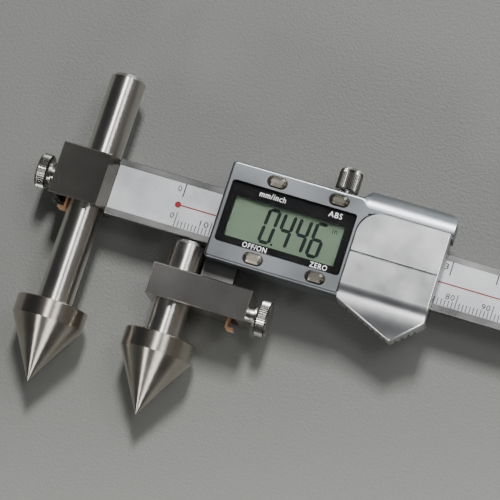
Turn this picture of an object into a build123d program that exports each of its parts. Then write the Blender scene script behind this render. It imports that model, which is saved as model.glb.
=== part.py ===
from build123d import *
import math
import os

# Centre-distance caliper with two cone points, lying on its back.
# X runs along the beam towards larger readings, Y runs from the cone points
# towards the free end of the long rod, Z runs up out of the scale.
# Sizes are millimetres. While it is modelled, X = 0 is the scale's zero line,
# Y = 0 is the middle of the beam and Z = 0 is the surface the cones lie on.

# Cones and rods
cone_diameter = 20.0
cone_angle = 60.0
shoulder_length = 5.2
shoulder_top_y = -35.9
rim_chamfer = 0.3
tip_flat_radius = 0.12
rod_diameter = 10.0
rod_end_chamfer = 1.0
long_rod_top_y = 31.2
short_rod_gap = 0.8
stud_diameter = 6.0
stud_length = 6.0
stud_clearance = 0.02
stud_end_gap = 0.4
bore_clearance = 0.03

# Reading and travel
reading = 11.33
measuring_range = 150.0
fixed_rod_x = -25.4

# Beam and scale
beam_width = 16.0
beam_thickness = 4.3
beam_back_z = 8.7
beam_end_margin = 2.8
beam_edge = 0.25
scale_width = 12.4
scale_thickness = 0.5
scale_depth = 0.1
scale_side_gap = 0.05
scale_end_gap = 0.2
scale_right_margin = 1.0

# Clamp blocks
block_depth = 15.0
block_edge = 0.3
fixed_block_width = 15.8
fixed_block_height = 14.8
fixed_bore_wall = 0.8
flank_run = 2.0
flank_fall = 4.3
slider_block_width = 28.3
slider_block_height = 8.8
slider_bore_wall = 2.0
slider_block_top_y = -17.6
screw_drop = 1.1

# Clamp screws
screw_head_diameter = 10.0
screw_head_length = 3.4
screw_shank_length = 6.8
screw_collar_diameter = 6.4
screw_collar_length = 0.7
screw_shank_diameter = 4.5
screw_clearance = 0.05
screw_rim = 0.6
screw_knurl_count = 52
screw_knurl_depth = 0.2

# Bronze leaves between the screws and what they press on
leaf_thickness = 0.6
leaf_width = 5.0
leaf_reach = 3.0
leaf_tab = 2.3
leaf_bend = 0.5
leaf_gap = 0.05
leaf_slot_width = 3.2
leaf_slot_length = 9.2
leaf_slot_front = 1.5
leaf_slot_top = 1.0
leaf_slot_corner = 0.8
leaf_slot_lead = 0.3
slider_leaf_inset = 5.2
tab_drop = 1.9
pin_diameter = 4.0
pin_clearance = 0.03

# Slider frame
frame_gap = 0.15
running_gap = 0.05
lip_thickness = 1.15
lip_reach = 1.4
bridge_length = 3.4
leg_inset = 0.15
leg_width = 9.1
back_plate_thickness = 1.45
back_plate_corner = 0.8
gib_thickness = 1.2
gib_height = 3.7
gib_gap = 0.04
gib_end_gap = 0.6
gib_screw_diameter = 2.5
gib_screw_sink = 0.57
gib_slot_depth = 0.7
gib_screw_inset = 7.0

# Lock screw
lock_head_diameter = 6.6
lock_head_length = 6.6
lock_head_rim = 0.3
lock_neck_diameter = 4.0
lock_neck_length = 3.5
lock_thread_diameter = 3.4
lock_dome = 1.8
lock_knurl_count = 40
lock_knurl_depth = 0.15

# Housing, as offsets from the short rod's axis and the display's middle line
housing_x = 5.6
display_mid_y = 1.2
housing_front_z = 19.9
housing_back_z = 9.2
housing_front_wall = 1.8
housing_side_wall = 1.0
housing_rim_wall = 1.35
housing_edge = 0.7
housing_corner = 1.2
seam_depth = 0.35
seam_width = 0.4
seam_z = 16.9
cavity_gap = 0.1
beam_slot_gap = 0.25
shoulder_rise = 2.7
shoulder_overhang = 0.55
shoulder_lead = 1.6
shoulder_run = 3.4
shoulder_corner = 2.4
roll_width = 5.2
roll_fall = 2.9
roll_stations = 4

# Display
window_margin = 1.7
window_length = 34.75
display_border = 5.3
window_height = 17.1
window_thickness = 0.8
window_corner = 0.6
window_gap = 0.05
window_sink = 0.05
window_bevel = 0.25
view_margin_left = 1.8
view_margin_right = 1.9
view_margin_top = 3.8
view_margin_bottom = 1.8
lcd_border = 0.7
lcd_thickness = 1.6
lcd_gap = 0.1
connector_width = 1.0
board_thickness = 1.0
board_gap = 0.1
board_inset = 0.7
board_screw_diameter = 1.6
board_screw_head = 3.0
board_screw_head_height = 0.8
board_screw_depth = 3.0

# Buttons
button_length = 5.0
button_width = 2.6
button_rise = 0.8
button_bevel_run = 0.75
button_bevel_fall = 0.45
button_clearance = 0.1
button_flange = 0.5
button_flange_thickness = 0.6
button_seat = 0.3
button_left_inset = 11.55
button_right_inset = 5.65
button_row_gap = 2.5
button_travel = 0.4
dome_gap = 0.1
dome_base_radius = 1.25
dome_top_radius = 0.95

# Battery bay and cover
ridge_width = 1.15
bay_length = 24.75
partition_wall = 0.9
bay_corner = 5.7
tray_thickness = 0.5
cell_diameter = 20.0
cell_thickness = 3.2
cell_rim = 0.4
cell_seat_gap = 0.3
cell_seat_wall = 0.7
cell_seat_height = 1.9
cell_seat_opening = 0.75
contact_thickness = 0.3
contact_width = 3.0
contact_spread = 3.4
contact_foot_gap = 0.3
contact_stand = 0.6
cover_drop = 0.2
cover_thickness = 1.15
cover_corner = 6.5
cover_gap = 0.1
recess_bevel = 0.3
cover_overhang = 0.15
cover_top_inset = 2.9
cover_rim = 0.6
cover_tongue = 0.5
tongue_inset = 1.0
cover_wall = 1.3
roll_start_rise = 3.65
roll_end_rise = 0.85
roll_drop = 1.0
thumb_side_drop = 0.25
thumb_reach = 7.35
thumb_run = 16.8
thumb_point_radius = 0.9
thumb_side_radius = 1.2
thumb_edge_z = 15.6
thumb_rim = 1.3
groove_y = 0.25
groove_width = 0.3
groove_depth = 0.3
groove_right_margin = 0.9
rib_radius = 0.45
rib_pitch = 1.9
wall_rest = 1.0
cover_step = 0.45
rail_width = 0.6
rail_reach = 0.4
rail_z = 15.3

# Housing screws and bosses
housing_screw_diameter = 2.0
housing_screw_head = 3.8
housing_screw_head_height = 0.9
housing_screw_length = 9.0
housing_screw_inset = 2.7
boss_radius = 2.35
boss_cap = 0.7

# Driver slots and crosses in the small screws
driver_slot_width = 0.5
cross_length = 2.2
cross_depth = 0.5

# Stop at the far end of the beam
stop_length = 3.6
stop_width = 10.0
stop_thickness = 1.3
stop_screw_diameter = 2.0
stop_screw_head = 3.6
stop_screw_head_height = 1.0
stop_screw_spacing = 5.6
stop_screw_floor = 1.0

# How far a cut runs past the face that it opens
past = 1.0

# Sizes that follow from the ones above
cone_radius = cone_diameter / 2
rod_radius = rod_diameter / 2
axis_z = cone_radius
short_rod_x = fixed_rod_x + cone_diameter + reading
travel = measuring_range - reading
beam_front_z = beam_back_z + beam_thickness
beam_half = beam_width / 2
scale_front_z = beam_front_z - scale_depth
flank_x = fixed_rod_x + rod_radius + fixed_bore_wall
fixed_block_left = flank_x - fixed_block_width
block_back_z = axis_z - block_depth / 2
block_front_z = axis_z + block_depth / 2
slider_block_left = short_rod_x - rod_radius - slider_bore_wall
slider_block_right = slider_block_left + slider_block_width
slider_block_bottom_y = slider_block_top_y - slider_block_height
slider_screw_y = slider_block_top_y - slider_block_height / 2 - screw_drop
fixed_screw_y = -screw_drop
housing_left = short_rod_x + housing_x
window_left = housing_left + window_margin
window_right = window_left + window_length
bay_left = window_right + ridge_width
housing_right = bay_left + bay_length
frame_left = housing_left + housing_side_wall + frame_gap
frame_right = housing_right - housing_side_wall - frame_gap
display_bottom_y = display_mid_y - window_height / 2 - display_border
display_top_y = display_mid_y + window_height / 2 + display_border
cavity_bottom_y = display_bottom_y + housing_rim_wall
cavity_top_y = display_top_y - housing_rim_wall
frame_bottom_y = cavity_bottom_y + cavity_gap
frame_top_y = cavity_top_y - cavity_gap
gib_outer_y = beam_half + 2 * gib_gap + gib_thickness
rail_bottom_mid = (frame_bottom_y - beam_half - running_gap) / 2
rail_top_mid = (gib_outer_y + frame_top_y) / 2
lip_back_z = beam_front_z + running_gap
frame_front_z = lip_back_z + lip_thickness
plate_front_z = beam_back_z - running_gap
plate_back_z = plate_front_z - back_plate_thickness
beam_mid_z = beam_back_z + beam_thickness / 2
beam_right = housing_right + travel + beam_end_margin
shoulder_top = display_top_y + shoulder_rise
front_wall_z = housing_front_z - housing_front_wall
board_back_z = frame_front_z + board_gap
board_front_z = board_back_z + board_thickness
lcd_front_z = front_wall_z - lcd_gap
lcd_back_z = lcd_front_z - lcd_thickness
cover_front_z = housing_front_z - cover_drop
tray_front_z = frame_front_z + board_gap + tray_thickness
cell_back_z = tray_front_z + contact_thickness
fixed_leaf_x = fixed_rod_x - rod_radius - leaf_gap
fixed_tip_x = fixed_leaf_x - leaf_thickness - leaf_gap
slider_leaf_x = slider_block_right - slider_leaf_inset
slider_tip_x = slider_leaf_x + leaf_thickness + leaf_gap
thread_radius = screw_shank_diameter / 2 + screw_clearance
stop_left = frame_right + travel + cavity_gap
stop_mid_x = stop_left + stop_length / 2
stop_screw_depth = beam_thickness - scale_depth - scale_thickness - stop_screw_floor
cone_length = cone_radius / math.tan(math.radians(cone_angle / 2))
cover_top_y = display_top_y - cover_top_inset
roll_start_y = display_bottom_y + roll_start_rise
roll_end_y = display_bottom_y + roll_end_rise
thumb_left_y = display_bottom_y - thumb_side_drop
thumb_tip_y = display_bottom_y - thumb_reach
gib_screw_end_y = frame_top_y - gib_screw_sink
leg_left = housing_left + leg_inset
lock_axis_x = window_right - button_right_inset
gib_screw_places = (frame_left + gib_screw_inset, frame_right - gib_screw_inset)
shoulder_left = bay_left - shoulder_lead
view_left = window_left + view_margin_left
view_length = window_length - view_margin_left - view_margin_right
view_bottom = display_mid_y - window_height / 2 + view_margin_bottom
view_height = window_height - view_margin_bottom - view_margin_top
view_mid_y = view_bottom + view_height / 2
cover_back_z = cover_front_z - cover_thickness
cover_right = housing_right + cover_overhang
tongue_left = bay_left + cover_corner + tongue_inset
skirt_back_z = housing_back_z + cover_overhang
thumb_x = bay_left + thumb_run
button_row = window_height / 2 + button_row_gap
button_places = [(x, display_mid_y + side * button_row) for side in (1, -1)
                 for x in (window_left + button_left_inset, window_right - button_right_inset)]
button_pocket = front_wall_z - board_front_z
dome_front_z = (front_wall_z - running_gap - button_flange_thickness - button_travel
                - dome_gap)
screw_hole_z = plate_back_z + housing_screw_length + cavity_gap
board_left = frame_left + board_inset
board_right = bay_left - partition_wall - board_inset / 2
board_mid_x = (board_left + board_right) / 2
board_screw_ys = (rail_bottom_mid, rail_top_mid)
cell_x = (bay_left + housing_right - housing_side_wall) / 2
cell_y = (cavity_bottom_y + cover_top_y) / 2
negative_y = cell_y - contact_spread
positive_y = cell_y + contact_spread
contact_foot_x = view_left + view_length + contact_foot_gap
contact_turn_x = bay_left + contact_thickness
screw_places = [
    (frame_left + housing_screw_inset, rail_bottom_mid),
    (frame_right - housing_screw_inset, rail_bottom_mid),
    (frame_left + housing_screw_inset, rail_top_mid),
    (frame_right - housing_screw_inset, rail_top_mid),
]


def block(x0, x1, y0, y1, z0, z1):
    """A box between two corners."""
    return Pos((x0 + x1) / 2, (y0 + y1) / 2, (z0 + z1) / 2) * Box(x1 - x0, y1 - y0, z1 - z0)


def rod_x(x0, x1, y, z, radius):
    """A round bar along X."""
    return Pos((x0 + x1) / 2, y, z) * Rot(0, 90, 0) * Cylinder(radius, x1 - x0)


def rod_y(x, y0, y1, z, radius):
    """A round bar along Y."""
    return Pos(x, (y0 + y1) / 2, z) * Rot(90, 0, 0) * Cylinder(radius, y1 - y0)


def rod_z(x, y, z0, z1, radius):
    """A round bar along Z."""
    return Pos(x, y, (z0 + z1) / 2) * Cylinder(radius, z1 - z0)


def oblong(x, y, z0, z1, length, width):
    """A bar along Z with a long round-ended section."""
    return extrude(Pos(x, y, z0) * SlotOverall(length, width), z1 - z0)


def turned(points):
    """A turned piece: the profile (radius, height) spun round Z."""
    outline = Polyline([(radius, 0, height) for radius, height in points], close=True)
    return revolve(make_face(outline), Axis.Z)


def toothed(radius, height, count, depth):
    """A flat zigzag outline of pointed teeth at one height."""
    corners = []
    for tooth in range(count):
        for step, reach in ((0, radius), (0.5, radius - depth)):
            angle = 2 * math.pi * (tooth + step) / count
            corners.append((reach * math.cos(angle), reach * math.sin(angle)))
    return Pos(0, 0, height) * make_face(Polyline(corners, close=True))


def knurled(profile, count, depth):
    """A straight-knurled head: its teeth follow a profile of (radius, height)."""
    return loft([toothed(radius, height, count, depth) for radius, height in profile], ruled=True)


def widening(shape, base, top):
    """A cut on Z from base to top whose walls lean outwards at 45 degrees."""
    return extrude(Pos(0, 0, base) * shape, top - base, taper=-45)


# Rods and cones

def cone_point(x):
    """The cone with its short cylindrical shoulder, bored for the rod's stud."""
    tip = cone_length - tip_flat_radius / math.tan(math.radians(cone_angle / 2))
    profile = [(0, 0), (cone_radius - rim_chamfer, 0), (cone_radius, rim_chamfer),
               (cone_radius, shoulder_length), (tip_flat_radius, shoulder_length + tip),
               (0, shoulder_length + tip)]
    body = turned(profile)
    body -= rod_z(0, 0, 0, stud_length + stud_end_gap, stud_diameter / 2 + stud_clearance)
    return Pos(x, shoulder_top_y, axis_z) * Rot(90, 0, 0) * body


def rod(x, top_y):
    """A straight ground rod with a bevelled free end and a stud for the cone."""
    length = top_y - shoulder_top_y
    profile = [(0, -stud_length), (stud_diameter / 2, -stud_length), (stud_diameter / 2, 0),
               (rod_radius, 0), (rod_radius, length - rod_end_chamfer),
               (rod_radius - rod_end_chamfer, length), (0, length)]
    return Pos(x, shoulder_top_y, axis_z) * Rot(-90, 0, 0) * turned(profile)


# Clamp blocks with their screws and leaves

def leaf_slot(face_x, side, bottom_y, screw_y):
    """The milled slot that lets the leaf in from the block's lower face."""
    x_mid = face_x + side * (leaf_slot_width / 2 - leaf_slot_lead)
    z_mid = block_front_z - leaf_slot_front - leaf_slot_length / 2
    top_y = screw_y + leaf_reach + leaf_slot_top
    shape = RectangleRounded(leaf_slot_width, leaf_slot_length, leaf_slot_corner)
    return Pos(x_mid, top_y, z_mid) * Rot(90, 0, 0) * extrude(shape, top_y - bottom_y + past)


def leaf(face_x, side, bottom_y, screw_y):
    """A bronze leaf: an upright strip with its lower end bent out under the block."""
    outer_y = bottom_y - tab_drop - leaf_thickness
    far_x = face_x + side * leaf_tab
    near_x = face_x + side * leaf_thickness
    top_y = screw_y + leaf_reach
    outline = Polyline(
        (face_x, top_y), (near_x, top_y), (near_x, outer_y + leaf_thickness),
        (far_x, outer_y + leaf_thickness), (far_x, outer_y), (face_x, outer_y), close=True)
    strip = extrude(make_face(outline), leaf_width)
    outer = strip.edges().filter_by(Axis.Z).sort_by_distance((face_x, outer_y, leaf_width / 2))[0]
    strip = fillet(outer, leaf_bend)
    return Pos(0, 0, axis_z - leaf_width / 2) * strip


def clamp_screw(tip_x, side, screw_y):
    """A knurled thumb screw along X: its head stands off the block's face."""
    radius = screw_head_diameter / 2
    head = knurled([(radius - screw_rim, 0), (radius, screw_rim),
                    (radius, screw_head_length - screw_rim),
                    (radius - screw_rim, screw_head_length)],
                   screw_knurl_count, screw_knurl_depth)
    collar = rod_z(0, 0, screw_shank_length - screw_collar_length, screw_shank_length,
                   screw_collar_diameter / 2)
    shank = rod_z(0, 0, 0, screw_shank_length, screw_shank_diameter / 2)
    shank = chamfer(shank.edges().sort_by(Axis.Z)[0], screw_rim)
    body = shank + collar + Pos(0, 0, screw_shank_length) * head
    return Pos(tip_x, screw_y, axis_z) * Rot(0, 90 * side, 0) * body


def fixed_clamp_block():
    """The block at the zero end of the beam, bored for the long rod."""
    half = fixed_block_height / 2
    section = make_face(Polyline(
        (fixed_block_left, block_back_z), (flank_x, block_back_z),
        (flank_x, block_front_z - flank_fall), (flank_x - flank_run, block_front_z),
        (fixed_block_left, block_front_z), close=True))
    body = Pos(0, half, 0) * extrude(Plane.XZ * section, fixed_block_height)
    edges = body.edges()
    body = chamfer(edges.filter_by(Axis.X) + edges.filter_by(Axis.Y).group_by(Axis.X)[0],
                   block_edge)
    body -= rod_y(fixed_rod_x, -half - past, half + past, axis_z, rod_radius + bore_clearance)
    body -= rod_x(fixed_block_left - past, fixed_rod_x, fixed_screw_y, axis_z, thread_radius)
    body -= leaf_slot(fixed_leaf_x, -1, -half, fixed_screw_y)
    return body


def slider_clamp_block():
    """The block under the slider, bored for the short rod and its push pin."""
    body = block(slider_block_left, slider_block_right, slider_block_bottom_y,
                 slider_block_top_y, block_back_z, block_front_z)
    body = chamfer(body.edges().filter_by(Axis.X) + body.edges().filter_by(Axis.Y), block_edge)
    body -= rod_y(short_rod_x, slider_block_bottom_y - past, slider_block_top_y + past, axis_z,
                  rod_radius + bore_clearance)
    body -= rod_x(slider_leaf_x, slider_block_right + past, slider_screw_y, axis_z, thread_radius)
    body -= rod_x(short_rod_x, slider_leaf_x + past, slider_screw_y, axis_z,
                  pin_diameter / 2 + pin_clearance)
    body -= leaf_slot(slider_leaf_x, 1, slider_block_bottom_y, slider_screw_y)
    return body


def push_pin():
    """The pin that carries the screw's push from the leaf to the short rod."""
    start = short_rod_x + rod_radius + leaf_gap
    body = rod_x(start, slider_leaf_x - leaf_gap, slider_screw_y, axis_z, pin_diameter / 2)
    return chamfer(body.edges().filter_by(GeomType.CIRCLE), block_edge)


# Beam

def beam():
    """The ground steel beam with a shallow bed for the scale along its front."""
    body = block(flank_x, beam_right, -beam_half, beam_half, beam_back_z, beam_front_z)
    body = chamfer(body.edges().filter_by(Axis.X), beam_edge)
    bed = scale_width / 2 + scale_side_gap
    body -= block(flank_x - past, beam_right + past, -bed, bed,
                  scale_front_z - scale_thickness, beam_front_z + past)
    for side in (-1, 1):
        hole_y = side * stop_screw_spacing / 2
        body -= rod_z(stop_mid_x, hole_y, beam_back_z - past, beam_back_z + stop_screw_depth,
                      stop_screw_diameter / 2)
    return body


def scale_strip():
    """The thin scale that carries the line marks, laid in the beam's bed."""
    half = scale_width / 2
    return block(flank_x + scale_end_gap, beam_right - scale_right_margin, -half, half,
                 scale_front_z - scale_thickness, scale_front_z)


def end_stop():
    """A small plate under the beam's far end that keeps the slider on."""
    half = stop_width / 2
    body = block(stop_left, stop_left + stop_length, -half, half,
                 beam_back_z - stop_thickness, beam_back_z)
    body = fillet(body.edges().filter_by(Axis.Z), block_edge)
    for side in (-1, 1):
        body -= rod_z(stop_mid_x, side * stop_screw_spacing / 2, 0, beam_back_z + past,
                      stop_screw_diameter / 2 + screw_clearance)
    return body


def end_stop_screws():
    """The two pan-head screws that hold the stop."""
    under = beam_back_z - stop_thickness
    screws = []
    for side in (-1, 1):
        hole_y = side * stop_screw_spacing / 2
        head = rod_z(stop_mid_x, hole_y, under - stop_screw_head_height, under,
                     stop_screw_head / 2)
        head = chamfer(head.edges().sort_by(Axis.Z)[0], stop_screw_head_height / 3)
        head -= block(stop_mid_x - stop_screw_head, stop_mid_x + stop_screw_head,
                      hole_y - driver_slot_width / 2, hole_y + driver_slot_width / 2,
                      under - stop_screw_head_height - past, under - stop_screw_head_height / 2)
        shank = rod_z(stop_mid_x, hole_y, under, beam_back_z + stop_screw_depth - leaf_gap,
                      stop_screw_diameter / 2 - bore_clearance)
        screws.append(head + shank)
    return screws


# Slider

def slider_frame():
    """The steel frame that runs on the beam, with the leg for its clamp block."""
    body = block(frame_left, frame_right, frame_bottom_y, frame_top_y, plate_front_z,
                 frame_front_z)
    body -= block(frame_left - past, frame_right + past, -beam_half - running_gap, gib_outer_y,
                  plate_front_z - past, lip_back_z)
    lip_edge = beam_half - lip_reach
    body -= block(frame_left + bridge_length, frame_right - bridge_length, -lip_edge, lip_edge,
                  lip_back_z - past, frame_front_z + past)
    body += block(leg_left, leg_left + leg_width, slider_block_top_y, frame_bottom_y,
                  plate_front_z, frame_front_z)
    for x, y in screw_places:
        body -= rod_z(x, y, 0, frame_front_z + past, housing_screw_diameter / 2 + screw_clearance)
    for x in gib_screw_places:
        body -= rod_y(x, beam_half, frame_top_y + past, beam_mid_z, gib_screw_diameter / 2)
    body -= rod_y(lock_axis_x, beam_half, frame_top_y + past, beam_mid_z,
                  lock_thread_diameter / 2 + screw_clearance)
    for y in board_screw_ys:
        body -= rod_z(board_mid_x, y, frame_front_z - board_screw_depth, frame_front_z + past,
                      board_screw_diameter / 2)
    return body


def back_plate():
    """The plate that closes the frame behind the beam, countersunk for four screws."""
    body = block(frame_left, frame_right, frame_bottom_y, frame_top_y, plate_back_z,
                 plate_front_z)
    body = fillet(body.edges().filter_by(Axis.Z), back_plate_corner)
    for x, y in screw_places:
        body -= rod_z(x, y, 0, plate_front_z + past, housing_screw_diameter / 2 + screw_clearance)
        body -= Pos(x, y, plate_back_z) * turned(countersink(screw_clearance))
    return body


def countersink(extra):
    """The profile of a countersunk screw's head, enlarged by extra."""
    wide = housing_screw_head / 2 + extra
    narrow = housing_screw_diameter / 2
    return [(0, 0), (wide, 0), (narrow, housing_screw_head_height), (0, housing_screw_head_height)]


def housing_screws():
    """Four long screws from the back plate through the frame into the housing."""
    screws = []
    for x, y in screw_places:
        head = turned(countersink(0))
        shank = rod_z(0, 0, 0, housing_screw_length, housing_screw_diameter / 2 - bore_clearance)
        cross = Box(cross_length, driver_slot_width, 2 * cross_depth)
        cross += Box(driver_slot_width, cross_length, 2 * cross_depth)
        screws.append(Pos(x, y, plate_back_z) * (head + shank - cross))
    return screws


def gib_strip():
    """The bronze gib between the beam's upper edge and the frame."""
    inner = beam_half + gib_gap
    return block(frame_left + gib_end_gap, frame_right - gib_end_gap, inner,
                 inner + gib_thickness, beam_mid_z - gib_height / 2, beam_mid_z + gib_height / 2)


def gib_screws():
    """The two slotted grub screws that set the gib."""
    screws = []
    for x in gib_screw_places:
        body = rod_y(x, gib_outer_y, gib_screw_end_y, beam_mid_z,
                     gib_screw_diameter / 2 - bore_clearance)
        body -= block(x - gib_screw_diameter, x + gib_screw_diameter,
                      gib_screw_end_y - gib_slot_depth, gib_screw_end_y + past,
                      beam_mid_z - driver_slot_width / 2, beam_mid_z + driver_slot_width / 2)
        screws.append(body)
    return screws


def lock_screw():
    """The knurled screw on top that presses the gib and holds the slider."""
    neck_start = frame_top_y - gib_outer_y
    head_start = neck_start + lock_neck_length
    thread = rod_z(0, 0, 0, neck_start + running_gap, lock_thread_diameter / 2)
    neck = rod_z(0, 0, neck_start + running_gap, head_start, lock_neck_diameter / 2)
    radius = lock_head_diameter / 2
    base = lock_head_length - lock_dome
    profile = [(radius - lock_head_rim, 0), (radius, lock_head_rim), (radius, base)]
    for turn in (30, 60, 90):
        profile.append((radius - lock_dome * (1 - math.cos(math.radians(turn))),
                        base + lock_dome * math.sin(math.radians(turn))))
    head = knurled(profile, lock_knurl_count, lock_knurl_depth)
    body = thread + neck + Pos(0, 0, head_start) * head
    return Pos(lock_axis_x, gib_outer_y, beam_mid_z) * Rot(-90, 0, 0) * body


# Housing

def display_body():
    """The display half of the housing as a solid, with rolled front edges."""
    body = block(housing_left, shoulder_left + shoulder_run, display_bottom_y, display_top_y,
                 housing_back_z, housing_front_z)
    body = fillet(body.edges().filter_by(Axis.Z).group_by(Axis.X)[0], housing_corner)
    front = body.faces().sort_by(Axis.Z)[-1].edges()
    right_edge = front.sort_by(Axis.X)[-1]
    rolled = [edge for edge in front if edge.center() != right_edge.center()]
    return fillet(rolled, housing_edge)


def shoulder_rise_line():
    """The curve in plan by which the top edge rises to the shoulder."""
    return Spline((shoulder_left + shoulder_run, shoulder_top), (shoulder_left, display_top_y),
                  tangents=((-1, 0), (-1, 0)))


def shoulder_body():
    """The raised right end of the housing, still square along its top."""
    low = cover_top_y - past
    right = housing_right + shoulder_overhang
    sides = Polyline((shoulder_left, display_top_y), (shoulder_left, low), (right, low),
                     (right, shoulder_top), (shoulder_left + shoulder_run, shoulder_top))
    body = Pos(0, 0, housing_back_z) * extrude(make_face((sides + shoulder_rise_line()).edges()),
                                               housing_front_z - housing_back_z)
    corner = body.edges().filter_by(Axis.Z).sort_by_distance((right, shoulder_top, 0))[0]
    return fillet(corner, shoulder_corner)


def over_roll(x, edge_y):
    """What the roll takes off at one place along the shoulder, where its edge is at edge_y."""
    grown = (edge_y - display_top_y) / shoulder_rise
    fall = housing_edge + grown * (roll_fall - housing_edge)
    start = edge_y - housing_edge - grown * (roll_width - housing_edge)
    low = housing_front_z - fall
    far = shoulder_top + past
    over = TangentArc((start, housing_front_z), (edge_y, low), tangent=(1, 0))
    rest = Polyline((edge_y, low), (far, low - (far - edge_y)), (far, housing_front_z + past),
                    (start, housing_front_z + past), (start, housing_front_z))
    return Plane.YZ.offset(x) * make_face((over + rest).edges())


def shoulder_roll():
    """The cut that rolls the shoulder over, growing out of the display's own rolled edge."""
    rise = shoulder_rise_line()
    spots = [rise @ (1 - step / roll_stations) for step in range(roll_stations + 1)]
    growing = loft([over_roll(spot.X, spot.Y) for spot in spots])
    even = extrude(over_roll(shoulder_left + shoulder_run, shoulder_top),
                   housing_right + shoulder_overhang + past - shoulder_left - shoulder_run)
    return growing + even


def recess_plan():
    """The plan of the recess for the battery cover, with its one round corner."""
    face = make_face(Polyline(
        (bay_left, display_bottom_y - past), (housing_right + past, display_bottom_y - past),
        (housing_right + past, cover_top_y), (bay_left, cover_top_y), close=True))
    corner = face.vertices().sort_by_distance((bay_left, cover_top_y, 0))[0]
    return fillet(corner, cover_corner)


def cover_recess():
    """The recess that the battery cover lies in, with a bright bevel round its mouth."""
    floor = cover_back_z - cover_gap
    body = extrude(Pos(0, 0, floor) * recess_plan(), housing_front_z - floor + past)
    return body + widening(recess_plan(), housing_front_z - recess_bevel,
                           housing_front_z + recess_bevel)


def bay():
    """The battery bay under the cover, cut off at the corner that the cover rounds."""
    body = block(bay_left, housing_right - housing_side_wall, cavity_bottom_y,
                 cover_top_y - wall_rest, tray_front_z, housing_front_z + past)
    corner = body.edges().filter_by(Axis.Z).sort_by_distance(
        (bay_left, cover_top_y, tray_front_z))[0]
    return chamfer(corner, bay_corner)


def housing():
    """The plated front housing: display half, rolled shoulder and battery bay."""
    inner_left = housing_left + housing_side_wall
    inner_right = housing_right - housing_side_wall
    base = block(shoulder_left, housing_right, display_bottom_y + cover_step, display_top_y,
                 housing_back_z, cover_back_z)
    body = display_body() + base + shoulder_body() - shoulder_roll()
    over_base = block(bay_left, housing_right + past, display_bottom_y - past, roll_start_y, 0,
                      housing_front_z + past)
    body -= over_base - cover_section(cover_thickness + cover_gap)
    body -= block(bay_left, housing_right + past, display_bottom_y - past,
                  display_bottom_y + cover_step, 0, housing_front_z + past)
    body -= cover_recess()
    body -= block(inner_left, bay_left - partition_wall, cavity_bottom_y, cavity_top_y, 0,
                  front_wall_z)
    body -= block(inner_left, inner_right, cavity_bottom_y, cavity_top_y, 0, board_back_z)
    body -= bay()
    body -= block(shoulder_left + shoulder_run + wall_rest, inner_right - wall_rest,
                  cavity_top_y + wall_rest, shoulder_top - wall_rest, 0, front_wall_z - wall_rest)
    for button_x, button_y in button_places:
        body -= oblong(button_x, button_y, front_wall_z - button_pocket, front_wall_z,
                       button_length + 2 * button_flange + 4 * button_clearance,
                       button_width + 2 * button_flange + 4 * button_clearance)
        body -= oblong(button_x, button_y, front_wall_z - past, housing_front_z + past,
                       button_length + 2 * button_clearance, button_width + 2 * button_clearance)
        rim = Pos(button_x, button_y) * SlotOverall(button_length + 2 * button_clearance,
                                                    button_width + 2 * button_clearance)
        body -= widening(rim, housing_front_z - button_seat, housing_front_z + button_seat)
    body -= window_plate(window_gap, housing_front_z - window_sink - window_thickness
                         - window_gap, housing_front_z + past)
    body -= widening(window_shape(window_gap), housing_front_z - window_bevel,
                     housing_front_z + window_bevel)
    body -= block(view_left, view_left + view_length, view_mid_y - view_height / 2,
                  view_mid_y + view_height / 2, front_wall_z - past, housing_front_z + past)
    for x, y in screw_places:
        top = front_wall_z if x < bay_left else screw_hole_z + boss_cap
        body += rod_z(x, y, board_back_z, top, boss_radius)
    for x, y in screw_places:
        body -= rod_z(x, y, 0, screw_hole_z, housing_screw_diameter / 2)
    body += cell_seat()
    beam_gap = beam_half + beam_slot_gap
    for x in (housing_left, housing_right):
        body -= block(x - 2 * housing_side_wall, x + 2 * housing_side_wall, -beam_gap, beam_gap,
                      0, beam_front_z + beam_slot_gap)
    body -= block(leg_left - beam_slot_gap, leg_left + leg_width + beam_slot_gap,
                  display_bottom_y - past, 0, 0, board_back_z)
    notch = lock_neck_diameter / 2 + beam_slot_gap
    body -= block(lock_axis_x - notch, lock_axis_x + notch, cavity_top_y - past, display_top_y + past, 0,
                  beam_mid_z)
    body -= rod_y(lock_axis_x, cavity_top_y - past, display_top_y + past, beam_mid_z, notch)
    body -= seam()
    body -= contact_slots()
    body -= block(tongue_left, housing_right + past, cover_top_y - past,
                  cover_top_y + cover_tongue + cover_gap, cover_back_z - cover_gap,
                  cover_back_z + cover_tongue + cover_gap)
    wall_y = display_bottom_y + cover_step
    body -= block(bay_left, housing_right + past, wall_y - past, wall_y + rail_reach + cover_gap,
                  rail_z - cover_gap, rail_z + rail_width + cover_gap)
    return body


def seam():
    """The fine parting line round the display half, a little below the front."""
    low = seam_z - seam_width / 2
    high = seam_z + seam_width / 2
    far = bay_left + seam_depth
    outer = block(housing_left - past, far, display_bottom_y - past, display_top_y + past, low, high)
    inner = block(housing_left + seam_depth, far + past, display_bottom_y + seam_depth,
                  display_top_y - seam_depth, low - past, high + past)
    inner = fillet(inner.edges().filter_by(Axis.Z).group_by(Axis.X)[0], housing_corner - seam_depth)
    keep = block(shoulder_left, far + past, 0, shoulder_top + past, low - past, high + past)
    return outer - inner - keep


def cell_seat():
    """The low ring in the battery bay that the cell drops into."""
    radius = cell_diameter / 2 + cell_seat_gap
    ring = rod_z(cell_x, cell_y, tray_front_z - tray_thickness / 2,
                 tray_front_z + cell_seat_height, radius + cell_seat_wall)
    ring -= rod_z(cell_x, cell_y, 0, housing_front_z, radius)
    return ring - block(0, cell_x - radius * cell_seat_opening, cell_y - radius,
                        cell_y + radius, 0, housing_front_z)


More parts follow.
